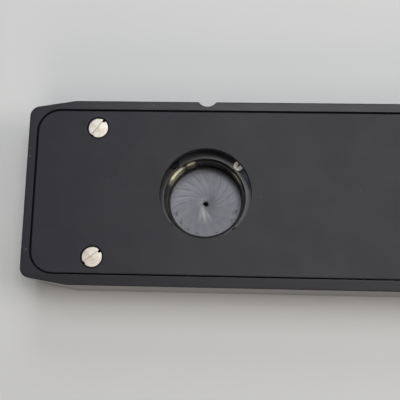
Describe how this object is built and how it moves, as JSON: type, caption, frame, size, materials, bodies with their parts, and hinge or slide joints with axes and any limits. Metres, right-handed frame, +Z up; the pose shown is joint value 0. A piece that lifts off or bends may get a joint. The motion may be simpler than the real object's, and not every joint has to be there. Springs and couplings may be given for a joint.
{
  "type": "iris diaphragm slider",
  "caption": "Flat black bar slider with a recessed cover plate and a round opening over a multi-leaf iris that closes to a pinhole, worked by a rack and a side thumbwheel.",
  "frame": {"origin": "middle of the bar's flat bottom face, on its centre line", "axes": "+X along the bar from the tapered nose to the outer end, +Y towards the long edge with the click-stop notch, +Z up through the cover plate"},
  "size_m": [0.136, 0.0428, 0.014],
  "materials": {
    "anodised_bar": "satin black anodised",
    "anodised_plate": "matt black anodised",
    "anodised_flange": "satin black anodised",
    "anodised_wheel": "satin black anodised, knurled rim",
    "blackened_housing": "matt black anodised",
    "blackened_brass": "blackened, worn",
    "brass": "turned",
    "leaf_steel": "dull rolled foil",
    "rack_steel": "milled",
    "steel": "ground",
    "screw_steel": "nickel plated, turned",
    "blackened_screw": "blackened"
  },
  "bodies": {
    "bar": {"slider_body": "anodised_bar", "cover_plate": "anodised_plate", "cover_screw_1": "screw_steel", "cover_screw_2": "screw_steel", "cover_screw_3": "screw_steel", "cover_screw_4": "screw_steel", "iris_housing": "blackened_housing", "barrel_ring": "blackened_brass", "iris_flange": "anodised_flange", "flange_screw_1": "screw_steel", "flange_screw_2": "blackened_screw", "flange_screw_3": "blackened_screw", "flange_screw_4": "blackened_screw", "mount_screw_1": "screw_steel", "mount_screw_2": "screw_steel", "mount_screw_3": "screw_steel", "mount_screw_4": "screw_steel", "rack_guide_1": "brass", "rack_guide_2": "brass", "guide_screw_1": "screw_steel", "guide_screw_2": "screw_steel", "floor_bush": "brass", "friction_washer": "brass", "bearing_bridge": "brass", "bridge_screw_1": "screw_steel", "bridge_screw_2": "screw_steel"},
    "cam_ring": {"cam_ring": "blackened_brass"},
    "rack": {"drive_rack": "rack_steel"},
    "thumbwheel": {"thumbwheel": "anodised_wheel", "drive_pinion": "brass", "wheel_shaft": "steel"},
    "leaf_01": {"leaf_01": "leaf_steel"},
    "leaf_02": {"leaf_02": "leaf_steel"},
    "leaf_03": {"leaf_03": "leaf_steel"},
    "leaf_04": {"leaf_04": "leaf_steel"},
    "leaf_05": {"leaf_05": "leaf_steel"},
    "leaf_06": {"leaf_06": "leaf_steel"},
    "leaf_07": {"leaf_07": "leaf_steel"},
    "leaf_08": {"leaf_08": "leaf_steel"},
    "leaf_09": {"leaf_09": "leaf_steel"},
    "leaf_10": {"leaf_10": "leaf_steel"},
    "leaf_11": {"leaf_11": "leaf_steel"},
    "leaf_12": {"leaf_12": "leaf_steel"},
    "leaf_13": {"leaf_13": "leaf_steel"},
    "leaf_14": {"leaf_14": "leaf_steel"},
    "leaf_15": {"leaf_15": "leaf_steel"},
    "leaf_16": {"leaf_16": "leaf_steel"},
    "leaf_17": {"leaf_17": "leaf_steel"},
    "leaf_18": {"leaf_18": "leaf_steel"},
    "leaf_19": {"leaf_19": "leaf_steel"},
    "leaf_20": {"leaf_20": "leaf_steel"}
  },
  "joints": [
    {"name": "thumbwheel_turn", "type": "hinge", "parent": "bar", "child": "thumbwheel", "pos_m": [0.03617, -0.01085, 0.0087], "axis": [0, 0, -1], "range_deg": [0, 281.5]},
    {"name": "cam_ring_turn", "type": "hinge", "parent": "bar", "child": "cam_ring", "pos_m": [-0.0298, -0.00035, 0.0049], "axis": [0, 0, -1], "range_deg": [0, 84.46]},
    {"name": "rack_slide", "type": "slide", "parent": "bar", "child": "rack", "axis": [-1, 0, 0], "range_m": [0, 0.02211]},
    {"name": "leaf_01_swing", "type": "hinge", "parent": "bar", "child": "leaf_01", "pos_m": [-0.0198, -0.00035, 0.0022], "axis": [0, 0, -1], "range_deg": [0, 44.64]},
    {"name": "leaf_02_swing", "type": "hinge", "parent": "bar", "child": "leaf_02", "pos_m": [-0.02029, 0.00274, 0.0022], "axis": [0, 0, -1], "range_deg": [0, 44.64]},
    {"name": "leaf_03_swing", "type": "hinge", "parent": "bar", "child": "leaf_03", "pos_m": [-0.02171, 0.00553, 0.0022], "axis": [0, 0, -1], "range_deg": [0, 44.64]},
    {"name": "leaf_04_swing", "type": "hinge", "parent": "bar", "child": "leaf_04", "pos_m": [-0.02392, 0.00774, 0.0022], "axis": [0, 0, -1], "range_deg": [0, 44.64]},
    {"name": "leaf_05_swing", "type": "hinge", "parent": "bar", "child": "leaf_05", "pos_m": [-0.02671, 0.00916, 0.0022], "axis": [0, 0, -1], "range_deg": [0, 44.64]},
    {"name": "leaf_06_swing", "type": "hinge", "parent": "bar", "child": "leaf_06", "pos_m": [-0.0298, 0.00965, 0.0022], "axis": [0, 0, -1], "range_deg": [0, 44.64]},
    {"name": "leaf_07_swing", "type": "hinge", "parent": "bar", "child": "leaf_07", "pos_m": [-0.03289, 0.00916, 0.0022], "axis": [0, 0, -1], "range_deg": [0, 44.64]},
    {"name": "leaf_08_swing", "type": "hinge", "parent": "bar", "child": "leaf_08", "pos_m": [-0.03568, 0.00774, 0.0022], "axis": [0, 0, -1], "range_deg": [0, 44.64]},
    {"name": "leaf_09_swing", "type": "hinge", "parent": "bar", "child": "leaf_09", "pos_m": [-0.03789, 0.00553, 0.0022], "axis": [0, 0, -1], "range_deg": [0, 44.64]},
    {"name": "leaf_10_swing", "type": "hinge", "parent": "bar", "child": "leaf_10", "pos_m": [-0.03931, 0.00274, 0.0022], "axis": [0, 0, -1], "range_deg": [0, 44.64]},
    {"name": "leaf_11_swing", "type": "hinge", "parent": "bar", "child": "leaf_11", "pos_m": [-0.0398, -0.00035, 0.0022], "axis": [0, 0, -1], "range_deg": [0, 44.64]},
    {"name": "leaf_12_swing", "type": "hinge", "parent": "bar", "child": "leaf_12", "pos_m": [-0.03931, -0.00344, 0.0022], "axis": [0, 0, -1], "range_deg": [0, 44.64]},
    {"name": "leaf_13_swing", "type": "hinge", "parent": "bar", "child": "leaf_13", "pos_m": [-0.03789, -0.00623, 0.0022], "axis": [0, 0, -1], "range_deg": [0, 44.64]},
    {"name": "leaf_14_swing", "type": "hinge", "parent": "bar", "child": "leaf_14", "pos_m": [-0.03568, -0.00844, 0.0022], "axis": [0, 0, -1], "range_deg": [0, 44.64]},
    {"name": "leaf_15_swing", "type": "hinge", "parent": "bar", "child": "leaf_15", "pos_m": [-0.03289, -0.00986, 0.0022], "axis": [0, 0, -1], "range_deg": [0, 44.64]},
    {"name": "leaf_16_swing", "type": "hinge", "parent": "bar", "child": "leaf_16", "pos_m": [-0.0298, -0.01035, 0.0022], "axis": [0, 0, -1], "range_deg": [0, 44.64]},
    {"name": "leaf_17_swing", "type": "hinge", "parent": "bar", "child": "leaf_17", "pos_m": [-0.02671, -0.00986, 0.0022], "axis": [0, 0, -1], "range_deg": [0, 44.64]},
    {"name": "leaf_18_swing", "type": "hinge", "parent": "bar", "child": "leaf_18", "pos_m": [-0.02392, -0.00844, 0.0022], "axis": [0, 0, -1], "range_deg": [0, 44.64]},
    {"name": "leaf_19_swing", "type": "hinge", "parent": "bar", "child": "leaf_19", "pos_m": [-0.02171, -0.00623, 0.0022], "axis": [0, 0, -1], "range_deg": [0, 44.64]},
    {"name": "leaf_20_swing", "type": "hinge", "parent": "bar", "child": "leaf_20", "pos_m": [-0.02029, -0.00344, 0.0022], "axis": [0, 0, -1], "range_deg": [0, 44.64]}
  ],
  "couplings": [
    {"joint": "cam_ring_turn", "follows": "thumbwheel_turn", "ratio": 0.3},
    {"joint": "rack_slide", "follows": "thumbwheel_turn", "m_per_rad": 0.0045},
    {"joint": "leaf_01_swing", "follows": "thumbwheel_turn", "ratio": 0.15856},
    {"joint": "leaf_02_swing", "follows": "thumbwheel_turn", "ratio": 0.15856},
    {"joint": "leaf_03_swing", "follows": "thumbwheel_turn", "ratio": 0.15856},
    {"joint": "leaf_04_swing", "follows": "thumbwheel_turn", "ratio": 0.15856},
    {"joint": "leaf_05_swing", "follows": "thumbwheel_turn", "ratio": 0.15856},
    {"joint": "leaf_06_swing", "follows": "thumbwheel_turn", "ratio": 0.15856},
    {"joint": "leaf_07_swing", "follows": "thumbwheel_turn", "ratio": 0.15856},
    {"joint": "leaf_08_swing", "follows": "thumbwheel_turn", "ratio": 0.15856},
    {"joint": "leaf_09_swing", "follows": "thumbwheel_turn", "ratio": 0.15856},
    {"joint": "leaf_10_swing", "follows": "thumbwheel_turn", "ratio": 0.15856},
    {"joint": "leaf_11_swing", "follows": "thumbwheel_turn", "ratio": 0.15856},
    {"joint": "leaf_12_swing", "follows": "thumbwheel_turn", "ratio": 0.15856},
    {"joint": "leaf_13_swing", "follows": "thumbwheel_turn", "ratio": 0.15856},
    {"joint": "leaf_14_swing", "follows": "thumbwheel_turn", "ratio": 0.15856},
    {"joint": "leaf_15_swing", "follows": "thumbwheel_turn", "ratio": 0.15856},
    {"joint": "leaf_16_swing", "follows": "thumbwheel_turn", "ratio": 0.15856},
    {"joint": "leaf_17_swing", "follows": "thumbwheel_turn", "ratio": 0.15856},
    {"joint": "leaf_18_swing", "follows": "thumbwheel_turn", "ratio": 0.15856},
    {"joint": "leaf_19_swing", "follows": "thumbwheel_turn", "ratio": 0.15856},
    {"joint": "leaf_20_swing", "follows": "thumbwheel_turn", "ratio": 0.15856}
  ]
}
